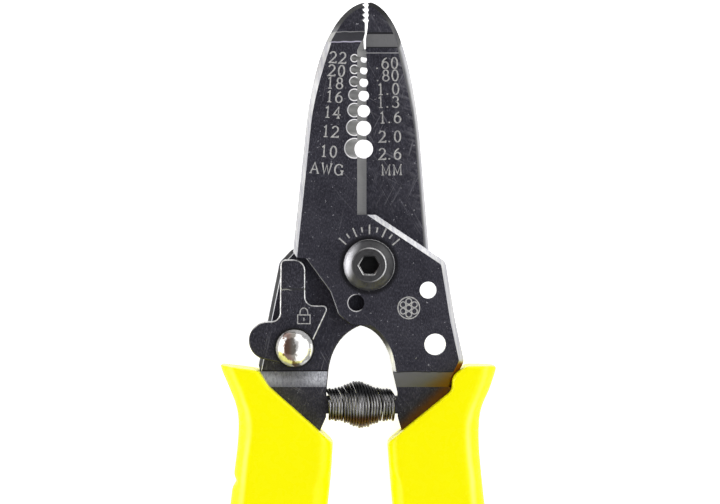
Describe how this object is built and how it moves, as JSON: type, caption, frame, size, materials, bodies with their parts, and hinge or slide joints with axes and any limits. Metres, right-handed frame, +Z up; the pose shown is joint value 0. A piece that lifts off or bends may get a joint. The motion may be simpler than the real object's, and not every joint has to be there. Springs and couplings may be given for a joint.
{
  "type": "wire stripper",
  "caption": "Spring-opened wire stripper and cutter: crossed plate blades with graded stripping holes, a serrated nose, a locking lever and moulded grips.",
  "frame": {"origin": "middle of the footprint, on the surface that the tool lies on", "axes": "+Y along the tool towards the jaws' tip, +Z up out of the marked face, +X towards the right handle"},
  "size_m": [0.0464, 0.16, 0.0104],
  "materials": {
    "black_steel": "black oxide, fine grain, satin",
    "turned_steel": "turned",
    "chrome": "polished",
    "spring_steel": "dark drawn wire",
    "vinyl": "smooth yellow vinyl"
  },
  "bodies": {
    "rear_half": {"rear_plate": "black_steel", "left_grip": "vinyl", "pivot_screw": "turned_steel", "pivot_washer": "turned_steel", "pivot_nut": "turned_steel", "lock_rivet": "chrome", "lock_washer": "chrome", "return_spring": "spring_steel"},
    "front_half": {"front_plate": "black_steel", "right_grip": "vinyl"},
    "lock": {"lock_lever": "black_steel"}
  },
  "joints": [
    {"name": "jaw_open", "type": "hinge", "parent": "rear_half", "child": "front_half", "pos_m": [0.0018, 0.0375, 0.0052], "axis": [0, 0, 1], "range_deg": [0, 13.5], "deforming": ["return_spring"]},
    {"name": "lock_swing", "type": "hinge", "parent": "rear_half", "child": "lock", "pos_m": [-0.0102, 0.0241, 0.0061], "axis": [0, 0, 1], "range_deg": [0, 16]}
  ],
  "couplings": [
    {"joint": "lock_swing", "follows": "jaw_open", "ratio": 1.15}
  ]
}
